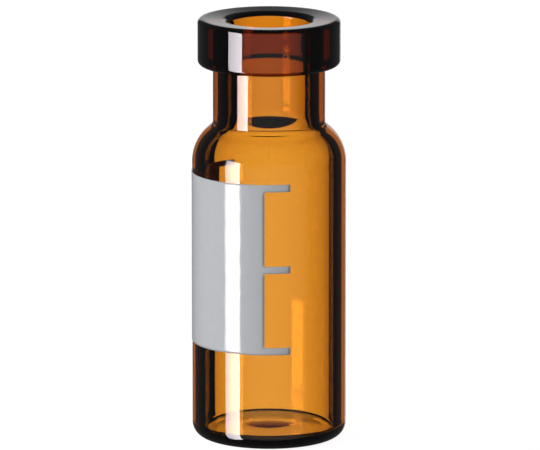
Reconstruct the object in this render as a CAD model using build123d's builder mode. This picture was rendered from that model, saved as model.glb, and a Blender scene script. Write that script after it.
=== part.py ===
from math import degrees, radians, sqrt, tan
import os

from build123d import *

# A small laboratory sample vial with a crimp lip. One amber glass tube is drawn
# in at the neck, its mouth is upset into a thick lip and its foot is melted shut.
# A writing patch with filling marks is screen printed on the wall and fired on.
# The origin is the centre of the plane it stands on, +Z points out of the mouth,
# and the middle of the writing patch faces -Y. Lengths are in millimetres and the
# slope of the lip's top is in degrees.

# Outside of the glass, from the foot up
HEIGHT = 32.0
BODY_DIAMETER = 11.6
HEEL_RADIUS = 1.1
BODY_HEIGHT = 21.1
SHOULDER_RADIUS = 3.4
NECK_FOOT_RADIUS = 0.5
NECK_DIAMETER = 8.45
LIP_HEIGHT = 3.55
LIP_DIAMETER = 10.75
LIP_CREASE_RADIUS = 0.12
LIP_LOWER_RADIUS = 0.42
LIP_UPPER_RADIUS = 0.35
LIP_TOP_SLOPE = 4.0
LIP_CREST_WIDTH = 0.5

# Inside of the glass
BODY_WALL = 0.95
BORE_DIAMETER = 6.2
MOUTH_RADIUS = 0.5
BORE_FOOT_RADIUS = 2.3
FLOOR_CORNER_RADIUS = 0.25

# Closed foot: a flat standing ring, a hollow underside, a floor that rises to the
# middle, and the lens of glass left there where the tube was melted shut
STANDING_RING_WIDTH = 0.5
FOOT_HOLLOW_DEPTH = 0.2
FLOOR_THICKNESS = 0.87
FLOOR_RISE = 0.13
CLOSING_LENS_RADIUS = 1.8
CLOSING_LENS_HEIGHT = 0.1

# Printed writing patch: one field with filling marks at each side
PATCH_TOP_MARGIN = 0.7
PATCH_HEIGHT = 12.98
PATCH_FIELD_ARC = 12.75
PATCH_MARK_ARC = 1.95
PATCH_MARK_WIDTH = 0.55
PATCH_MARKS = 3
PATCH_THICKNESS = 0.04

body_radius = BODY_DIAMETER / 2
neck_radius = NECK_DIAMETER / 2
lip_radius = LIP_DIAMETER / 2
bore_radius = BORE_DIAMETER / 2
cavity_radius = body_radius - BODY_WALL
lip_foot = HEIGHT - LIP_HEIGHT
crest_radius = lip_radius - LIP_CREST_WIDTH
mouth_height = HEIGHT - (crest_radius - bore_radius) * tan(radians(LIP_TOP_SLOPE))
ring_inner_radius = body_radius - HEEL_RADIUS - STANDING_RING_WIDTH
floor_middle = FLOOR_THICKNESS + FLOOR_RISE

# Both faces of the shoulder are arcs about one centre, so it keeps the body's wall
shoulder_centre = body_radius - SHOULDER_RADIUS
cavity_shoulder_radius = SHOULDER_RADIUS - BODY_WALL
neck_foot = BODY_HEIGHT + sqrt(SHOULDER_RADIUS**2 - (neck_radius - shoulder_centre) ** 2)
bore_foot = BODY_HEIGHT + sqrt(cavity_shoulder_radius**2 - (bore_radius - shoulder_centre) ** 2)

# Glass: half of its upright section, turned once about the axis
with BuildPart() as glass_vial:
    with BuildSketch(Plane.XZ) as wall_section:
        with BuildLine():
            # Underside and outside, up to the lip
            TangentArc((0, FOOT_HOLLOW_DEPTH), (ring_inner_radius, 0), tangent=(1, 0))
            Polyline((ring_inner_radius, 0), (body_radius, 0), (body_radius, BODY_HEIGHT))
            TangentArc((body_radius, BODY_HEIGHT), (neck_radius, neck_foot), tangent=(0, 1))
            Polyline((neck_radius, neck_foot), (neck_radius, lip_foot), (lip_radius, lip_foot))
            # Lip and mouth: the top falls a little from its level crest to the mouth
            Polyline((lip_radius, lip_foot), (lip_radius, HEIGHT), (crest_radius, HEIGHT))
            Line((crest_radius, HEIGHT), (bore_radius, mouth_height))
            # Inside, down to the floor
            Line((bore_radius, mouth_height), (bore_radius, bore_foot))
            TangentArc((cavity_radius, BODY_HEIGHT), (bore_radius, bore_foot), tangent=(0, 1))
            Line((cavity_radius, BODY_HEIGHT), (cavity_radius, FLOOR_THICKNESS))
            Line((cavity_radius, FLOOR_THICKNESS), (CLOSING_LENS_RADIUS, floor_middle))
            TangentArc(
                (0, floor_middle + CLOSING_LENS_HEIGHT), (CLOSING_LENS_RADIUS, floor_middle), tangent=(1, 0)
            )
            Line((0, floor_middle + CLOSING_LENS_HEIGHT), (0, FOOT_HOLLOW_DEPTH))
        make_face()

        rounded_corners = [
            (body_radius, 0, HEEL_RADIUS),
            (neck_radius, neck_foot, NECK_FOOT_RADIUS),
            (neck_radius, lip_foot, LIP_CREASE_RADIUS),
            (lip_radius, lip_foot, LIP_LOWER_RADIUS),
            (lip_radius, HEIGHT, LIP_UPPER_RADIUS),
            (bore_radius, mouth_height, MOUTH_RADIUS),
            (bore_radius, bore_foot, BORE_FOOT_RADIUS),
            (cavity_radius, FLOOR_THICKNESS, FLOOR_CORNER_RADIUS),
        ]
        for corner_x, corner_y, corner_radius in rounded_corners:
            corner = wall_section.vertices().sort_by_distance((corner_x, corner_y))[0]
            fillet(corner, corner_radius)
    revolve(axis=Axis.Z)

# Enamel: a field that wraps a third of the wall, and full width bars that reach
# past both its edges as filling marks, all laid on the outside of the glass
patch_foot = BODY_HEIGHT - PATCH_TOP_MARGIN - PATCH_HEIGHT
mark_pitch = (PATCH_HEIGHT - PATCH_MARK_WIDTH) / (PATCH_MARKS - 1)


def printed_band(foot, height, arc_length):
    """Adds enamel of one height, centred on -Y and wrapped on the body by arc_length."""
    sweep = degrees(arc_length / body_radius)
    start = -90 - sweep / 2
    with BuildSketch(Plane.XY.offset(foot)) as band:
        with BuildLine():
            inner = CenterArc((0, 0), body_radius, start, sweep)
            outer = CenterArc((0, 0), body_radius + PATCH_THICKNESS, start, sweep)
            Line(inner @ 0, outer @ 0)
            Line(inner @ 1, outer @ 1)
        make_face()
    extrude(band.sketch, amount=height)


with BuildPart() as writing_patch:
    printed_band(patch_foot, PATCH_HEIGHT, PATCH_FIELD_ARC)
    for mark in range(PATCH_MARKS):
        mark_foot = patch_foot + mark * mark_pitch
        printed_band(mark_foot, PATCH_MARK_WIDTH, PATCH_FIELD_ARC + 2 * PATCH_MARK_ARC)

glass_vial.part.label = "glass_vial"
writing_patch.part.label = "writing_patch"

os.makedirs("parts", exist_ok=True)
export_step(glass_vial.part, "parts/glass_vial.step")
export_step(writing_patch.part, "parts/writing_patch.step")
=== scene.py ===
import bpy
import numpy as np
from mathutils import Euler, Matrix, Vector


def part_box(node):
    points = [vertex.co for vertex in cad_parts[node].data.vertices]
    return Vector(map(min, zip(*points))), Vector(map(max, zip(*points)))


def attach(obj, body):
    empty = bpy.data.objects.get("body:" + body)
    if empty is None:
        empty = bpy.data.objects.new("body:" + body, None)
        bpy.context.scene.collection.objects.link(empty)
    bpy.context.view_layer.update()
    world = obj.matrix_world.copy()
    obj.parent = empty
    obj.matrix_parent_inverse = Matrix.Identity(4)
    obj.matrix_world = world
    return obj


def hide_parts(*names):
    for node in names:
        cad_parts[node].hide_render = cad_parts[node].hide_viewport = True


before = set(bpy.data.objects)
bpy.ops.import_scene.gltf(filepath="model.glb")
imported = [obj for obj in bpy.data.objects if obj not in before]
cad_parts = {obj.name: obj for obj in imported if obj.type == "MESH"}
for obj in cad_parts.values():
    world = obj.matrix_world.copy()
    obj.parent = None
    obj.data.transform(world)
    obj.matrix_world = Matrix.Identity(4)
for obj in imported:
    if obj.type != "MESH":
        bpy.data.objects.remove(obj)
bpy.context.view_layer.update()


# The glass. One length of amber borosilicate tube: the neck is drawn in over a
# mandrel, the mouth is upset into the thick crimp lip, and the foot is melted shut
# and pressed flat, which leaves a hollow underside and a small lens in the floor.

# Every length is in millimetres, which MM turns to metres, and every angle in degrees
MM = 0.001
glass_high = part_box("glass_vial")[1]
HEIGHT = glass_high[2] / MM
BODY_RADIUS = glass_high[0] / MM
HEEL_RADIUS = 1.1
BODY_HEIGHT = 21.1
SHOULDER_RADIUS = 3.4
NECK_FOOT_RADIUS = 0.5
NECK_RADIUS = 4.225
LIP_HEIGHT = 3.55
LIP_RADIUS = 5.375
LIP_CREASE_RADIUS = 0.12
LIP_LOWER_RADIUS = 0.42
LIP_UPPER_RADIUS = 0.35
LIP_TOP_SLOPE = 4.0
LIP_CREST_WIDTH = 0.5
BODY_WALL = 0.95
BORE_RADIUS = 3.1
MOUTH_RADIUS = 0.5
BORE_FOOT_RADIUS = 2.3
FLOOR_CORNER_RADIUS = 0.25
STANDING_RING_WIDTH = 0.5
FOOT_HOLLOW_DEPTH = 0.2
FLOOR_THICKNESS = 0.87
FLOOR_RISE = 0.13
CLOSING_LENS_RADIUS = 1.8
CLOSING_LENS_HEIGHT = 0.1

DRAW_LINE_SIZE = (1.0, 1.0, 20.0)
DRAW_LINE_DEPTH = 0.0005
GLASS_IOR = 1.51
ABSORBED_PER_MM = (0.64, 1.14, 2.5)
TURNS = 288
SUPPORT_GAP = 0.03
RING_STEP = 0.8


def arc(centre, radius, start, end, steps=14):
    """Points of a circle: centre plus radius times the cosine and sine of even angles."""
    angle = np.radians(np.linspace(start, end, steps))
    return np.column_stack((centre[0] + radius * np.cos(angle), centre[1] + radius * np.sin(angle)))


def straight(start, end):
    """A straight run with a ring close to each end, so that it shades truly straight, and
    with even rings between them."""
    start, end = np.array(start), np.array(end)
    length = np.linalg.norm(end - start)
    near = SUPPORT_GAP / length
    share = np.concatenate(([0], np.linspace(near, 1 - near, max(2, int(length / RING_STEP))), [1]))
    return start + share[:, None] * (end - start)


def crown(rim_radius, rim_height, middle_height, steps=24):
    """Half a shallow dome from its middle to its rim: the arc through both, level in the middle."""
    rise = middle_height - rim_height
    r = np.linspace(0, rim_radius, steps)
    ball = (rim_radius**2 + rise**2) / (2 * abs(rise))
    drop = ball - np.sqrt(ball**2 - r**2)
    return np.column_stack((r, middle_height - np.sign(rise) * drop))


def shoulder(wall_radius, arc_radius, neck_radius, foot_radius):
    """An arc that leaves the straight wall and a hollow fillet that carries it into the neck.
    The two circles touch, so their centres are the sum of both radii apart."""
    middle = wall_radius - arc_radius
    reach = neck_radius + foot_radius - middle
    lift = np.sqrt((arc_radius + foot_radius) ** 2 - reach**2)
    meet = np.degrees(np.arctan2(lift, reach))
    return np.vstack((
        arc((middle, BODY_HEIGHT), arc_radius, 0, meet, steps=40),
        arc((neck_radius + foot_radius, BODY_HEIGHT + lift), foot_radius, meet + 180, 180)[1:],
    ))


def joined(*bends):
    """One path through all the bends, with a straight run wherever two of them don't meet."""
    path = [bends[0]]
    for bend in bends[1:]:
        if np.linalg.norm(bend[0] - path[-1][-1]) > 3 * SUPPORT_GAP:
            path.append(straight(path[-1][-1], bend[0])[1:-1])
        path.append(bend)
    return np.vstack(path)


def turned(profile, turns):
    """Turns a closed half section about Z: each point (r, z) gives a ring (r cos a, r sin a, z),
    and the first and last, which are on the axis, give a pole."""
    rings = profile[1:-1]
    angle = np.linspace(0, 2 * np.pi, turns, endpoint=False)
    r, z = rings[:, 0][:, None], rings[:, 1][:, None]
    ring_points = np.stack((r * np.cos(angle), r * np.sin(angle), z + 0 * angle), axis=-1).reshape(-1, 3)
    points = np.vstack(([[0, 0, profile[0, 1]]], ring_points, [[0, 0, profile[-1, 1]]]))

    here = np.arange(turns)
    following = (here + 1) % turns
    ring_start = 1 + turns * np.arange(len(rings) - 1)[:, None]
    next_start = ring_start + turns
    quads = np.stack(
        (ring_start + here, ring_start + following, next_start + following, next_start + here), axis=-1
    ).reshape(-1, 4)
    first = np.stack((0 * here, 1 + following, 1 + here), axis=-1)
    last_start = 1 + turns * (len(rings) - 1)
    last = np.stack((0 * here + len(points) - 1, last_start + here, last_start + following), axis=-1)
    return points, quads.tolist() + first.tolist() + last.tolist()


def new_piece(name, points, faces):
    """A smooth shaded object in metres from points in millimetres."""
    mesh = bpy.data.meshes.new(name)
    mesh.from_pydata(np.asarray(points) * MM, [], faces)
    mesh.polygons.foreach_set("use_smooth", np.ones(len(mesh.polygons), dtype=bool))
    mesh.update()
    piece = bpy.data.objects.new(name, mesh)
    bpy.context.collection.objects.link(piece)
    return piece


ring_inner = BODY_RADIUS - HEEL_RADIUS - STANDING_RING_WIDTH
cavity_radius = BODY_RADIUS - BODY_WALL
lip_foot = HEIGHT - LIP_HEIGHT
lens_foot = FLOOR_THICKNESS + FLOOR_RISE
crest = np.array([LIP_RADIUS - LIP_CREST_WIDTH, HEIGHT])
slope = np.radians(LIP_TOP_SLOPE)
mouth_centre = BORE_RADIUS + MOUTH_RADIUS
mouth_height = HEIGHT - (MOUTH_RADIUS + (crest[0] - mouth_centre) * np.sin(slope)) / np.cos(slope)
floor_slope = np.degrees(np.arctan2(FLOOR_RISE, cavity_radius - CLOSING_LENS_RADIUS))
corner_back = FLOOR_CORNER_RADIUS * np.tan(np.radians(45 - floor_slope / 2))

glass_profile = joined(
    crown(ring_inner, 0, FOOT_HOLLOW_DEPTH),
    arc((BODY_RADIUS - HEEL_RADIUS, HEEL_RADIUS), HEEL_RADIUS, -90, 0, steps=20),
    shoulder(BODY_RADIUS, SHOULDER_RADIUS, NECK_RADIUS, NECK_FOOT_RADIUS),
    arc(
        (NECK_RADIUS + LIP_CREASE_RADIUS, lip_foot - LIP_CREASE_RADIUS), LIP_CREASE_RADIUS,
        180, 90, steps=6,
    ),
    arc((LIP_RADIUS - LIP_LOWER_RADIUS, lip_foot + LIP_LOWER_RADIUS), LIP_LOWER_RADIUS, -90, 0),
    arc((LIP_RADIUS - LIP_UPPER_RADIUS, HEIGHT - LIP_UPPER_RADIUS), LIP_UPPER_RADIUS, 0, 90),
    crest[None, :],
    arc((mouth_centre, mouth_height), MOUTH_RADIUS, 90 + LIP_TOP_SLOPE, 180),
    shoulder(cavity_radius, SHOULDER_RADIUS - BODY_WALL, BORE_RADIUS, BORE_FOOT_RADIUS)[::-1],
    arc(
        (cavity_radius - FLOOR_CORNER_RADIUS, FLOOR_THICKNESS + corner_back), FLOOR_CORNER_RADIUS,
        0, floor_slope - 90, steps=16,
    ),
    crown(CLOSING_LENS_RADIUS, lens_foot, lens_foot + CLOSING_LENS_HEIGHT)[::-1],
)


def linear(hex_colour):
    """Linear red, green, blue and full alpha from an sRGB hex colour, by the sRGB curve."""
    parts = np.array([int(hex_colour[i:i + 2], 16) for i in (1, 3, 5)]) / 255
    return (*np.where(parts <= 0.04045, parts / 12.92, ((parts + 0.055) / 1.055) ** 2.4), 1.0)


def add(tree, kind, settings=None, links=None):
    """Adds a node, sets its options, and sets its sockets or links them from (node, output).
    A socket goes by its name, or by its number where several have the same name."""
    node = tree.nodes.new(kind)
    for name, value in (settings or {}).items():
        if isinstance(name, int) or name in node.inputs:
            node.inputs[name].default_value = value
        else:
            setattr(node, name, value)
    for name, (source, output) in (links or {}).items():
        tree.links.new(source.outputs[output], node.inputs[name])
    return node


def new_material(name):
    """A material with no nodes yet, and its node tree."""
    material = bpy.data.materials.new(name)
    material.use_nodes = True
    material.node_tree.nodes.clear()
    return material, material.node_tree


def relief(tree, pattern_size, depth, detail):
    """Noise whose pattern has a real size in millimetres along each axis, and a bump from it
    that is depth millimetres high."""
    place = add(tree, "ShaderNodeTexCoord")
    scaled = add(tree, "ShaderNodeMapping", {"Scale": [1 / (size * MM) for size in pattern_size]}, {
        "Vector": (place, "Object"),
    })
    noise = add(tree, "ShaderNodeTexNoise", {"Scale": 1.0, "Detail": detail}, {"Vector": (scaled, "Vector")})
    bump = add(tree, "ShaderNodeBump", {"Distance": depth * MM}, {"Height": (noise, "Fac")})
    return noise, bump


def amber_borosilicate():
    """Fire polished amber glass: clear, mirror smooth but for the faint upright lines that
    drawing leaves in a tube, and coloured all through, so that thick glass such as the lip
    goes from orange to dark red."""
    material, tree = new_material("amber_borosilicate")
    densest = max(ABSORBED_PER_MM)
    _, draw_lines = relief(tree, DRAW_LINE_SIZE, DRAW_LINE_DEPTH, detail=1.0)
    surface = add(tree, "ShaderNodeBsdfPrincipled", {
        "Base Color": linear("#ffffff"),
        "Roughness": 0.0,
        "IOR": GLASS_IOR,
        "Transmission Weight": 1.0,
    }, {"Normal": (draw_lines, "Normal")})
    body = add(tree, "ShaderNodeVolumeAbsorption", {
        "Color": (*(1 - np.array(ABSORBED_PER_MM) / densest), 1.0),
        "Density": densest / MM,
    })
    add(tree, "ShaderNodeOutputMaterial", links={"Surface": (surface, "BSDF"), "Volume": (body, "Volume")})
    return material


glass = new_piece("amber_glass_vial", *turned(glass_profile, TURNS))
glass.data.materials.append(amber_borosilicate())
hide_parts("glass_vial")
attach(glass, "root")


# The writing patch. Light grey ceramic ink, screen printed on the outside of the
# wall and fired on, so that the glass and the back of the ink are in full contact.

patch_low, patch_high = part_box("writing_patch")
PATCH_FOOT = patch_low[2] / MM
PATCH_TOP = patch_high[2] / MM
FIELD_ARC = 12.75
MARK_ARC = 1.95
MARK_WIDTH = 0.55
MARKS = 3
INK_THICKNESS = 0.04
INK_BITE = 0.015
CELL = 0.25
INK_GRAIN = (0.4, 0.4, 0.4)
INK_GRAIN_DEPTH = 0.008
INK_TONES = ("#c0c2c6", "#c8cace")
INK_ROUGHNESS = (0.06, 0.15)
INK_IOR = 1.5


def spaced(stops, step):
    """Values that hit every stop and are at most step apart between them."""
    runs = [np.linspace(a, b, int(np.ceil((b - a) / step)) + 1)[:-1] for a, b in zip(stops, stops[1:])]
    return np.append(np.concatenate(runs), stops[-1])


def printed_sheet():
    """The front of the ink: a grid over (arc length, height), bent round the wall at the angle
    arc length over body radius, with the cells between the marks left out."""
    half_field = FIELD_ARC / 2
    across = spaced([-half_field - MARK_ARC, -half_field, half_field, half_field + MARK_ARC], CELL)
    feet = np.linspace(PATCH_FOOT, PATCH_TOP - MARK_WIDTH, MARKS)
    up = spaced(sorted([*feet, *(feet + MARK_WIDTH)]), CELL)
    radius = BODY_RADIUS + INK_THICKNESS
    arc_length, height = np.meshgrid(across, up)
    angle = arc_length / BODY_RADIUS - np.pi / 2
    points = np.stack((radius * np.cos(angle), radius * np.sin(angle), height), axis=-1).reshape(-1, 3)

    middle_across = (across[:-1] + across[1:]) / 2
    middle_up = (up[:-1] + up[1:]) / 2
    in_field = np.abs(middle_across) < half_field
    in_mark = np.any((middle_up[:, None] > feet) & (middle_up[:, None] < feet + MARK_WIDTH), axis=1)
    row, column = np.nonzero(in_field[None, :] | in_mark[:, None])
    corner = row * len(across) + column
    faces = np.stack((corner, corner + 1, corner + 1 + len(across), corner + len(across)), axis=-1)
    used, faces = np.unique(faces, return_inverse=True)
    return points[used], faces.reshape(-1, 4).tolist()


def fired_ceramic_ink():
    """Fired ceramic ink: pale grey, opaque, with the low gloss of a thin glaze. The screen's
    threads leave a grain in it, drawn here about four times as coarse so that it shows."""
    material, tree = new_material("fired_ceramic_ink")
    grain, raised = relief(tree, INK_GRAIN, INK_GRAIN_DEPTH, detail=2.0)
    first_tone, second_tone, mixed_tone = 6, 7, 2
    tone = add(tree, "ShaderNodeMix", {
        "data_type": "RGBA",
        first_tone: linear(INK_TONES[0]),
        second_tone: linear(INK_TONES[1]),
    }, {"Factor": (grain, "Fac")})
    gloss = add(tree, "ShaderNodeMapRange", {
        "To Min": INK_ROUGHNESS[0],
        "To Max": INK_ROUGHNESS[1],
    }, {"Value": (grain, "Fac")})
    surface = add(tree, "ShaderNodeBsdfPrincipled", {"IOR": INK_IOR}, {
        "Base Color": (tone, mixed_tone),
        "Roughness": (gloss, "Result"),
        "Normal": (raised, "Normal"),
    })
    add(tree, "ShaderNodeOutputMaterial", links={"Surface": (surface, "BSDF")})
    return material


ink = new_piece("writing_patch_ink", *printed_sheet())
wall = ink.modifiers.new("ink_thickness", "SOLIDIFY")
wall.thickness = (INK_THICKNESS + INK_BITE) * MM
wall.offset = -1
ink.data.materials.append(fired_ceramic_ink())
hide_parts("writing_patch")
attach(ink, "root")


# The camera, at the photograph's viewing angle: a long lens with no shift, that looks
# down on the vial from above its mouth and a little past the edge of the patch.

CAMERA_AZIMUTH = 66.4
CAMERA_DISTANCE = 600.0
CAMERA_HEIGHT = 141.0
CAMERA_SIDE = 0.07
CAMERA_PITCH = 11.753
CAMERA_LENS = 543.0
CAMERA_SENSOR = 36.0
NEAREST_SEEN = 10.0
FARTHEST_SEEN = 20000.0

camera = bpy.data.objects.new("camera", bpy.data.cameras.new("camera"))
bpy.context.collection.objects.link(camera)
camera.data.lens = CAMERA_LENS
camera.data.sensor_width = CAMERA_SENSOR
camera.data.clip_start = NEAREST_SEEN * MM
camera.data.clip_end = FARTHEST_SEEN * MM
turn = Matrix.Rotation(np.radians(CAMERA_AZIMUTH), 4, "Z")
stand = Matrix.Translation(Vector((CAMERA_SIDE, -CAMERA_DISTANCE, CAMERA_HEIGHT)) * MM)
tilt = Euler((np.radians(90 - CAMERA_PITCH), 0, 0)).to_matrix().to_4x4()
camera.matrix_world = turn @ stand @ tilt
bpy.context.scene.camera = camera


# The studio. The vial stands on a white floor in front of a lit paper, with darkness to
# the left, right and above that draws its edges, and a tall softbox at the front left.
# Cards and key light go round with the camera, as if the vial stood on a turntable.

# Edges are the left, right, bottom and top of a card, as angles seen from the vial
PAPER_DISTANCE = 600.0
PAPER_EDGES = (-13.9, 22.0, -19.5, 24.0)
PAPER_FADE = 7.0
PAPER_FALLOFF = 2.3
PAPER_STRENGTH = 3.05
PAPER_IN_REFLECTIONS = 0.85
SOFTBOX_BEARING = -123.8
SOFTBOX_DISTANCE = 350.0
SOFTBOX_EDGES = (-12.0, 12.0, -40.0, 17.0)
SOFTBOX_LEAN = -1.3
SOFTBOX_COLOUR = "#fdf5fb"
SOFTBOX_STRENGTH = 15.8
SOFTBOX_THROUGH_GLASS = 30.0
FILL_BEARING = 180
FILL_DISTANCE = 300.0
FILL_EDGES = (-65.0, 65.0, -40.0, 30.0)
FILL_FADE = 0.0
FILL_FALLOFF = 0.217
FILL_STRENGTH = 0.42
SHARP_EDGE = 0.01
KEY_WIDTH = 150.0
KEY_HEIGHT = 400.0
KEY_LIFT = 80.0
KEY_ENERGY = 1.4
DIFFUSE_FILL = 0.3
DIFFUSE_FILL_THROUGH_GLASS = 2.5
GLOSSY_FILL = 0.09
FLOOR_RADIUS = 3000.0
FLOOR_SIDES = 64
FLOOR_GAP = 0.01
FLOOR_GLOW = 0.93
FLOOR_ALBEDO = 0.3
GLASS_BOUNCES = 32
OTHER_BOUNCES = 16


def around_vial(bearing):
    """Turns +Y to a bearing from the vial, where 0 is straight back from the camera and
    angles run to the right."""
    return Matrix.Rotation(np.radians(CAMERA_AZIMUTH - bearing), 4, "Z")


def on_turntable(item):
    """Lets a light or card follow the camera round the vial, unseen by it."""
    item.parent = camera
    item.matrix_parent_inverse = camera.matrix_world.inverted()
    item.visible_camera = False


def card_light(name, colour, strength, lean, falloff, fade_start, fade_end):
    """Light over a card whose UV map holds the tangents x of bearing and y of elevation:
    strength (1 + lean x - falloff x^2), faded out upward between two elevations."""
    material, tree = new_material(name)
    tangents = add(tree, "ShaderNodeUVMap")
    direction = add(tree, "ShaderNodeSeparateXYZ", links={"Vector": (tangents, "UV")})
    bend = add(tree, "ShaderNodeMath", {"operation": "MULTIPLY_ADD", 1: -falloff, 2: lean}, {
        0: (direction, "X"),
    })
    level = add(tree, "ShaderNodeMath", {"operation": "MULTIPLY_ADD", 2: 1.0}, {
        0: (direction, "X"),
        1: (bend, "Value"),
    })
    fade = add(tree, "ShaderNodeMapRange", {
        "interpolation_type": "SMOOTHSTEP",
        "From Min": np.tan(np.radians(fade_end)),
        "From Max": np.tan(np.radians(fade_start)),
        "To Max": strength,
    }, {"Value": (direction, "Y")})
    faded = add(tree, "ShaderNodeMath", {"operation": "MULTIPLY"}, {
        0: (level, "Value"),
        1: (fade, "Result"),
    })
    light = add(tree, "ShaderNodeEmission", {"Color": linear(colour)}, {"Strength": (faded, "Value")})
    add(tree, "ShaderNodeOutputMaterial", links={"Surface": (light, "Emission")})
    return material


def lit_card(
    name, bearing, distance, edges, strength,
    lean=0.0, falloff=0.0, fade_start=None, colour="#ffffff", through_glass=False,
):
    """A flat upright card that faces the vial and casts no shadow, with its left, right, bottom
    and top edges as angles from its middle. It shows either in reflections or through the glass."""
    left, right, bottom, top = np.tan(np.radians(edges))
    tangents = [(left, bottom), (right, bottom), (right, top), (left, top)]
    corners = [
        around_vial(bearing) @ (Vector((distance * x, distance, HEIGHT / 2 + distance * y)) * MM)
        for x, y in tangents
    ]
    mesh = bpy.data.meshes.new(name)
    mesh.from_pydata(corners, [], [(0, 1, 2, 3)])
    mesh.uv_layers.new()
    mesh.uv_layers.active.data.foreach_set("uv", np.array(tangents).ravel())
    fade_end = edges[3] + SHARP_EDGE
    if fade_start is None:
        fade_start = edges[3]
    mesh.materials.append(card_light(name, colour, strength, lean, falloff, fade_start, fade_end))
    card = bpy.data.objects.new(name, mesh)
    bpy.context.collection.objects.link(card)
    on_turntable(card)
    card.visible_shadow = False
    card.visible_diffuse = False
    card.visible_glossy = not through_glass
    card.visible_transmission = through_glass


lit_card(
    "paper_through_glass", 0, PAPER_DISTANCE, PAPER_EDGES, PAPER_STRENGTH,
    falloff=PAPER_FALLOFF, fade_start=PAPER_FADE, through_glass=True,
)
lit_card(
    "paper_in_reflections", 0, PAPER_DISTANCE, PAPER_EDGES, PAPER_IN_REFLECTIONS,
    falloff=PAPER_FALLOFF, fade_start=PAPER_FADE,
)
lit_card(
    "softbox_through_glass", SOFTBOX_BEARING, SOFTBOX_DISTANCE, SOFTBOX_EDGES, SOFTBOX_THROUGH_GLASS,
    through_glass=True,
)
lit_card(
    "softbox_in_reflections", SOFTBOX_BEARING, SOFTBOX_DISTANCE, SOFTBOX_EDGES, SOFTBOX_STRENGTH,
    lean=SOFTBOX_LEAN, colour=SOFTBOX_COLOUR,
)
lit_card(
    "front_fill", FILL_BEARING, FILL_DISTANCE, FILL_EDGES, FILL_STRENGTH,
    falloff=FILL_FALLOFF, fade_start=FILL_FADE,
)

# The softbox's light on matt surfaces comes from this lamp, which stands where its card is
key_light = bpy.data.lights.new("key", "AREA")
key_light.shape = "RECTANGLE"
key_light.size = KEY_WIDTH * MM
key_light.size_y = KEY_HEIGHT * MM
key_light.energy = KEY_ENERGY
key = bpy.data.objects.new("key", key_light)
bpy.context.collection.objects.link(key)
facing_vial = Matrix.Rotation(np.radians(-90), 4, "X")
key.matrix_world = (
    around_vial(SOFTBOX_BEARING)
    @ Matrix.Translation(Vector((0, SOFTBOX_DISTANCE, KEY_LIFT)) * MM)
    @ facing_vial
)
on_turntable(key)
key.visible_glossy = False
key.visible_transmission = False


def white_floor():
    """White card that glows by itself and takes only the faintest shadow."""
    material, tree = new_material("white_floor")
    glow = add(tree, "ShaderNodeEmission", {"Strength": FLOOR_GLOW})
    matt = add(tree, "ShaderNodeBsdfDiffuse", {"Color": (FLOOR_ALBEDO, FLOOR_ALBEDO, FLOOR_ALBEDO, 1)})
    both = add(tree, "ShaderNodeAddShader", links={0: (glow, "Emission"), 1: (matt, "BSDF")})
    add(tree, "ShaderNodeOutputMaterial", links={"Surface": (both, "Shader")})
    return material


bpy.ops.mesh.primitive_circle_add(vertices=FLOOR_SIDES, radius=FLOOR_RADIUS * MM, fill_type="NGON")
floor = bpy.context.object
floor.name = "floor"
floor.location.z = -FLOOR_GAP * MM
floor.data.materials.append(white_floor())
floor.visible_transmission = False
floor.visible_glossy = False
floor.visible_diffuse = False


def studio_world():
    """The room by kind of ray: white to the camera, a little fill on matt and on glossy
    surfaces, more on the back of the ink inside the glass, and black where the glass is
    looked through. A refracted ray counts as glossy too, so it is left out there."""
    world = bpy.data.worlds.new("studio")
    world.use_nodes = True
    tree = world.node_tree
    tree.nodes.clear()
    ray = add(tree, "ShaderNodeLightPath")
    matt = add(tree, "ShaderNodeMath", {"operation": "MULTIPLY", 1: DIFFUSE_FILL}, {
        0: (ray, "Is Diffuse Ray"),
    })
    inside = add(tree, "ShaderNodeMath", {"operation": "MULTIPLY"}, {
        0: (ray, "Is Transmission Ray"),
        1: (ray, "Diffuse Depth"),
    })
    below_glass = add(tree, "ShaderNodeMath", {"operation": "MULTIPLY_ADD", 1: DIFFUSE_FILL_THROUGH_GLASS}, {
        0: (inside, "Value"),
        2: (matt, "Value"),
    })
    reflected = add(tree, "ShaderNodeMath", {"operation": "GREATER_THAN"}, {
        0: (ray, "Is Glossy Ray"),
        1: (ray, "Is Transmission Ray"),
    })
    glossy = add(tree, "ShaderNodeMath", {"operation": "MULTIPLY_ADD", 1: GLOSSY_FILL}, {
        0: (reflected, "Value"),
        2: (below_glass, "Value"),
    })
    level = add(tree, "ShaderNodeMath", {"operation": "ADD"}, {
        0: (glossy, "Value"),
        1: (ray, "Is Camera Ray"),
    })
    room = add(tree, "ShaderNodeBackground", {"Color": linear("#ffffff")}, {"Strength": (level, "Value")})
    add(tree, "ShaderNodeOutputWorld", links={"Surface": (room, "Background")})
    return world


# Light crosses the glass many times before it leaves it, so it gets many bounces
scene = bpy.context.scene
scene.world = studio_world()
scene.view_settings.view_transform = "Standard"
scene.cycles.max_bounces = GLASS_BOUNCES
scene.cycles.transmission_bounces = GLASS_BOUNCES
scene.cycles.glossy_bounces = OTHER_BOUNCES
scene.cycles.transparent_max_bounces = OTHER_BOUNCES
